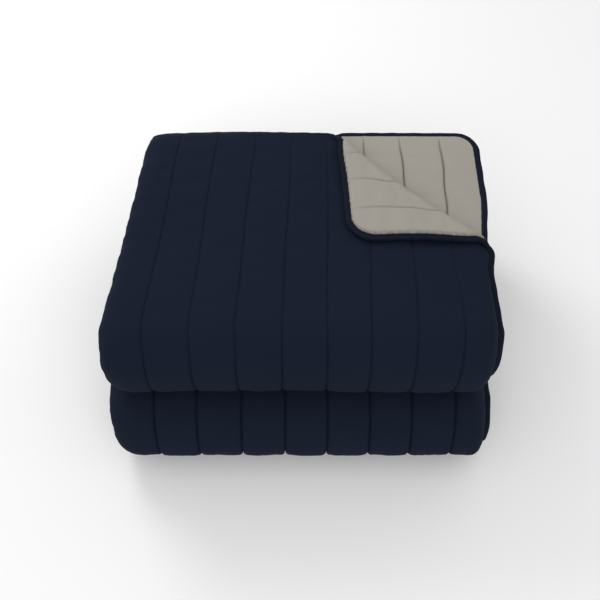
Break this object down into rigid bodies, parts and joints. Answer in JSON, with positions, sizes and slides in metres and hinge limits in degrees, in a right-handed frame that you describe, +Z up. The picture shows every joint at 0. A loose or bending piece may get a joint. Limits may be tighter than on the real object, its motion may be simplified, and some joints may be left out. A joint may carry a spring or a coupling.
{
  "type": "folded channel-quilted duvet",
  "caption": "Reversible channel-quilted duvet with a bound edge, folded in half and back and forth, with one top corner turned back to show the lighter reverse",
  "frame": {"origin": "On the surface that the duvet rests on, under the middle of its box", "axes": "+Z up, +X across the channels away from the lengthwise fold towards the bound side edges, +Y from the two front folds towards the open back end"},
  "size_m": [0.6848, 0.57, 0.3588],
  "materials": {
    "quilt": "Matt brushed microfibre, navy on the face and warm grey-beige on the reverse, sewn through in straight parallel channels",
    "binding": "Matt navy binding tape folded over the edge and topstitched"
  },
  "bodies": {
    "root": {"quilt": "quilt", "binding": "binding"}
  },
  "joints": []
}
